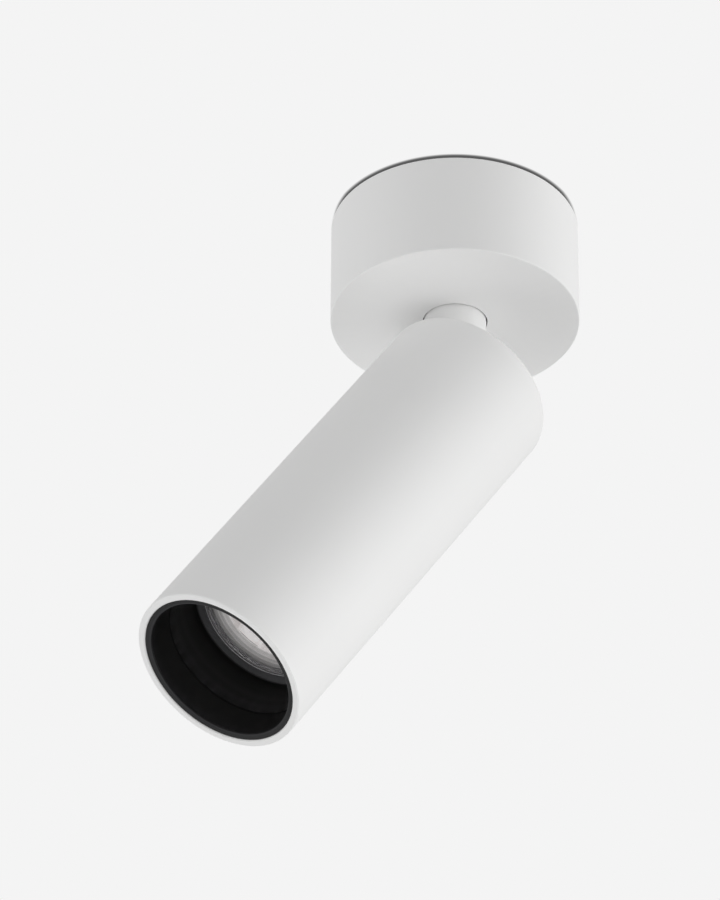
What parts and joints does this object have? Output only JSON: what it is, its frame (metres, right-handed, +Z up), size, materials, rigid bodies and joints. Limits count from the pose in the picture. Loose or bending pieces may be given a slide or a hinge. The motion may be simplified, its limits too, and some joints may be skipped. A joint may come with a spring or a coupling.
{
  "type": "ceiling spotlight",
  "caption": "Ceiling spotlight: round canopy, short turning neck and a long tiltable cylinder head with a deep black glare baffle round its lamp.",
  "frame": {"origin": "centre of the mounting plate's ceiling face", "axes": "+Z up, out of the ceiling face; the head leans towards -X and tilts about the Y axis"},
  "size_m": [0.1606, 0.09, 0.23],
  "materials": {
    "white_paint": "fine matt powder coat",
    "zinc_steel": "zinc plated, pressed",
    "bright_steel": "zinc plated, turned",
    "black_rubber": "moulded",
    "ivory_plastic": "moulded",
    "brass": "turned",
    "black_plastic": "moulded, fine grain",
    "white_ceramic": "glazed ceramic",
    "reflector_glass": "coated inside, half mirror",
    "clear_glass": "clear"
  },
  "bodies": {
    "ceiling_base": {"mounting_plate": "zinc_steel", "cable_grommet": "black_rubber", "terminal_block": "ivory_plastic", "terminal_sleeves": "brass", "terminal_screws": "bright_steel", "terminal_block_screws": "bright_steel", "earth_screw": "bright_steel", "earth_washer": "bright_steel", "canopy": "white_paint", "canopy_grub_screws": "bright_steel", "pan_bush": "black_plastic", "pan_bush_screws": "bright_steel"},
    "neck": {"neck_tube": "white_paint", "pan_stop_washer": "bright_steel", "pan_spring_washer": "bright_steel", "pan_ring_nut": "brass", "neck_grommet": "black_plastic"},
    "head": {"head_housing": "white_paint", "tilt_bracket": "zinc_steel", "tilt_bracket_screws": "bright_steel", "tilt_bolt": "bright_steel", "tilt_lock_nut": "bright_steel", "tilt_friction_washers": "black_plastic", "lamp_holder": "white_ceramic", "lamp_holder_screws": "bright_steel", "holder_contacts": "brass", "lamp_base": "white_ceramic", "lamp_pins": "bright_steel", "lamp_reflector": "reflector_glass", "lamp_cover_glass": "clear_glass", "lamp_capsule": "clear_glass", "baffle": "black_plastic", "baffle_springs": "bright_steel"}
  },
  "joints": [
    {"name": "pan", "type": "hinge", "parent": "ceiling_base", "child": "neck", "pos_m": [0, 0, -0.035], "axis": [0, 0, 1], "range_deg": [-170, 170]},
    {"name": "tilt", "type": "hinge", "parent": "neck", "child": "head", "pos_m": [0, 0, -0.0772], "axis": [0, 1, 0], "range_deg": [-33.4, 11.6]}
  ]
}
